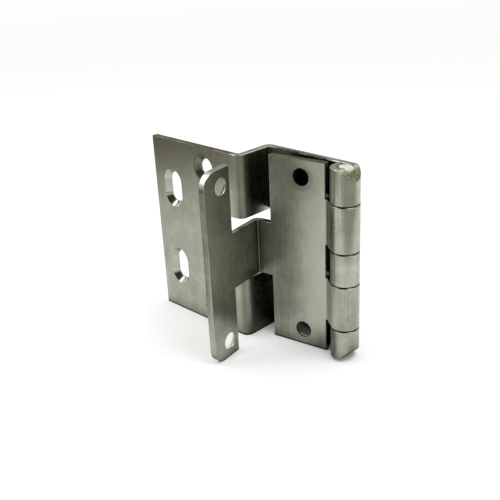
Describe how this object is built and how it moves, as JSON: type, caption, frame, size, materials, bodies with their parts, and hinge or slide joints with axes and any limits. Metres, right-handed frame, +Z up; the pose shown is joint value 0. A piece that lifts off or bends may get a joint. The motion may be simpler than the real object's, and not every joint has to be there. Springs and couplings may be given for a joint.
{
  "type": "five knuckle hinge",
  "caption": "Wrap-around knuckle hinge of folded steel sheet: a jogged leaf with countersunk slots and a leaf with a side strip swing on a tight pin with slanted tips.",
  "frame": {"origin": "midway between the wing's slots, on the back face of the wing, which is screwed to the cabinet", "axes": "+X from the wing's slots towards the barrel, +Y out of the wing's mounting face into the cabinet's panel, +Z up along the pin"},
  "size_m": [0.0863, 0.0397, 0.0698],
  "materials": {
    "slotted_leaf": "dull brushed",
    "wrap_leaf": "dull brushed",
    "hinge_pin": "ground ends"
  },
  "bodies": {
    "slotted_side": {"slotted_leaf": "slotted_leaf", "hinge_pin": "hinge_pin"},
    "wrap_side": {"wrap_leaf": "wrap_leaf"}
  },
  "joints": [
    {"name": "leaf_swing", "type": "hinge", "parent": "slotted_side", "child": "wrap_side", "pos_m": [0.0715, 0.01004, 0], "axis": [0, 0, 1], "range_deg": [-9.7, 260.3]}
  ]
}
